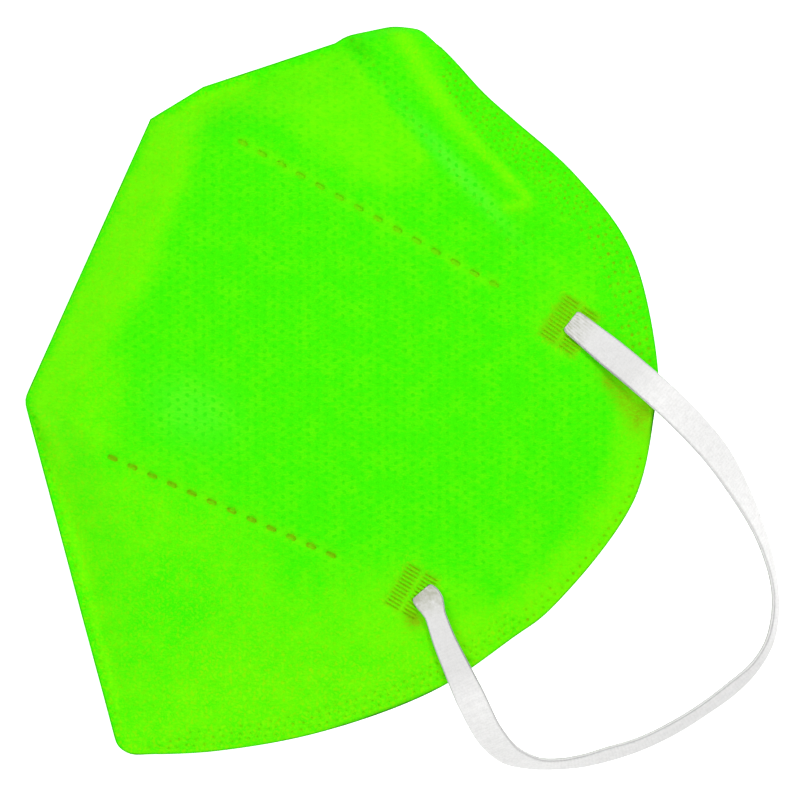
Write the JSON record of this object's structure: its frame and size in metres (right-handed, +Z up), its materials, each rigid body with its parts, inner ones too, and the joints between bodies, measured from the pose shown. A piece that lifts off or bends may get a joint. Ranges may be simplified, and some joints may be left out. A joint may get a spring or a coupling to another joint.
{
  "type": "respirator mask",
  "caption": "Fold-flat respirator mask of bright green nonwoven cloth, folded on its side and open at the face edge, with a bendable nose wire in a pocket and flat white elastic ear loops.",
  "frame": {"origin": "on the surface that the folded mask lies on, under the middle of its cloth", "axes": "+X from the folded front to the open face edge, +Y up the front fold towards the nose, +Z up from the surface"},
  "size_m": [0.1575, 0.1562, 0.0245],
  "materials": {
    "cloth": "matte embossed nonwoven",
    "wire": "satin",
    "elastic": "matte knitted elastic"
  },
  "bodies": {
    "root": {"mask_body": "cloth", "nose_wire": "wire", "ear_loop_left": "elastic", "ear_loop_right": "elastic"}
  },
  "joints": []
}
